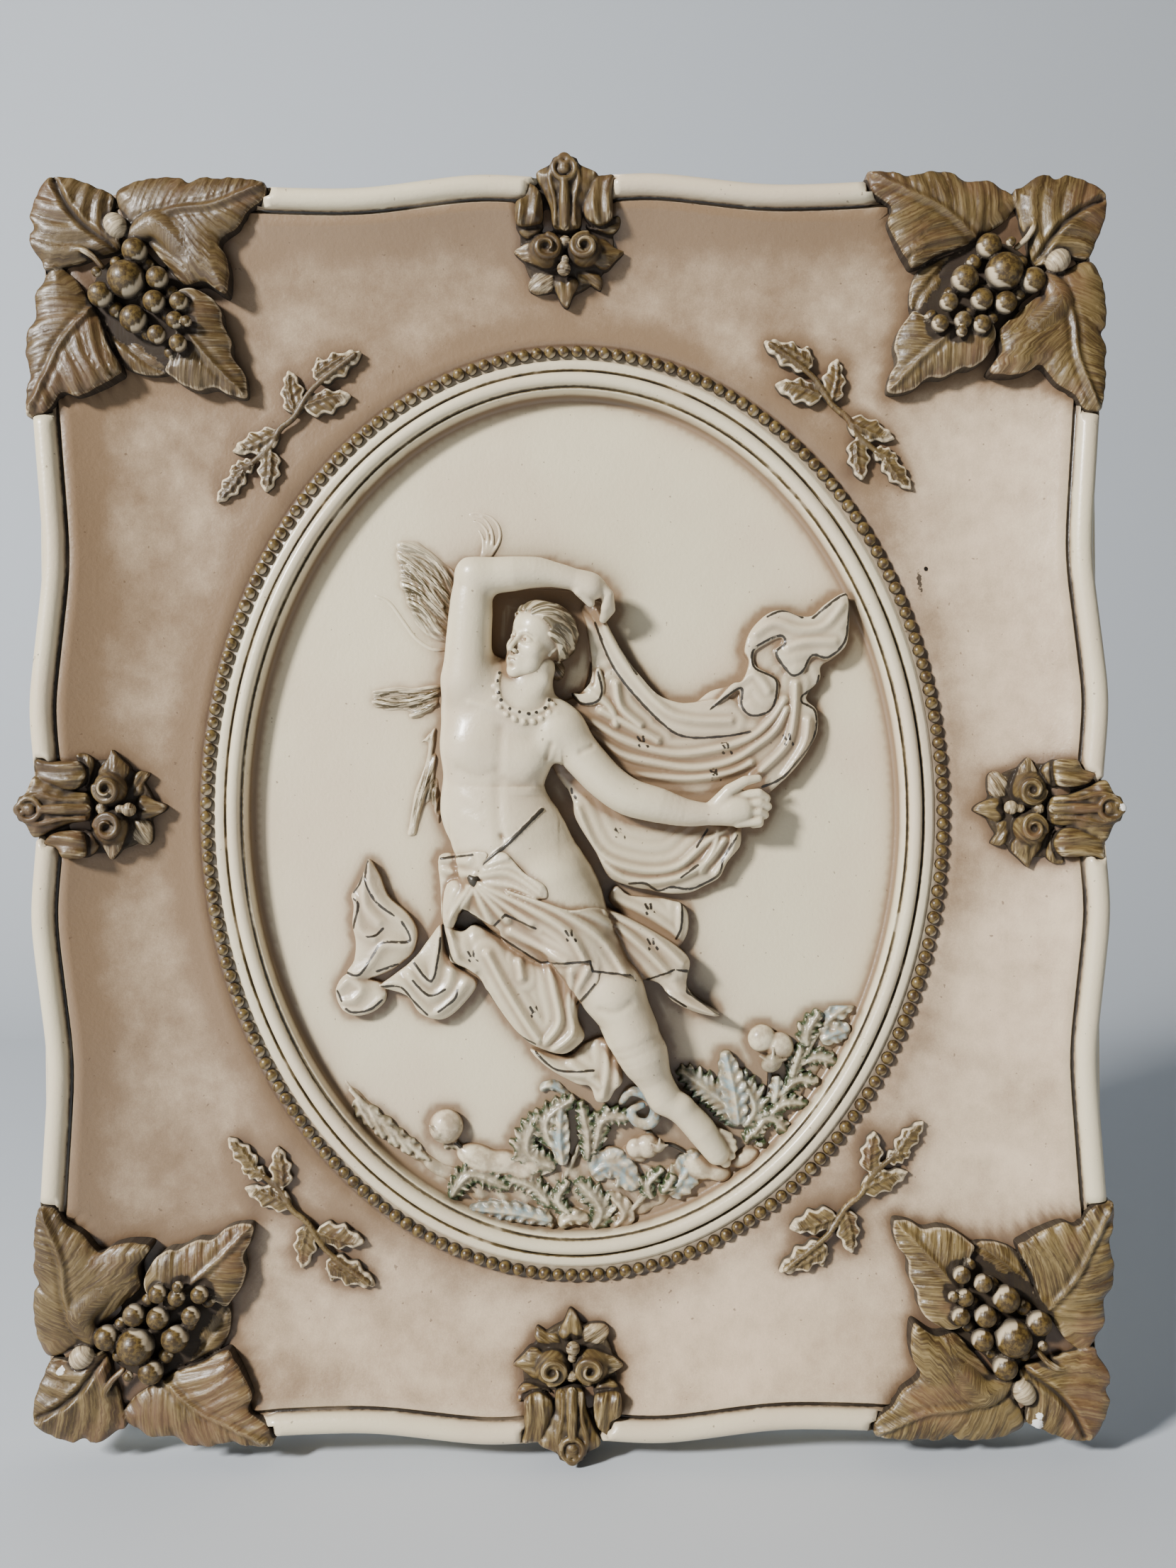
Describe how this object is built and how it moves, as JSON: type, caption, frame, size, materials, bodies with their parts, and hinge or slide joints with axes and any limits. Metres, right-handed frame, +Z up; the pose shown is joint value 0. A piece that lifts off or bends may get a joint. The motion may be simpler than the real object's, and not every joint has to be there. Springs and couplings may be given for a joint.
{
  "type": "wall plaque",
  "caption": "Oblong painted plaster wall plaque: scalloped frame with corner grape clusters round a beaded oval with a draped figure in relief.",
  "frame": {"origin": "point on the flat back where the wall nail bears, just above the nail pocket, 0.244 m above the middle of the plaque", "axes": "+Z up, +Y into the wall, front face looking along -Y, +X to the right as seen from the front"},
  "size_m": [0.4709, 0.048, 0.5554],
  "materials": {
    "painted_plaster": "cream painted plaster with brown glaze in the hollows, satin varnish"
  },
  "bodies": {
    "root": {"plaque": "painted_plaster"}
  },
  "joints": []
}
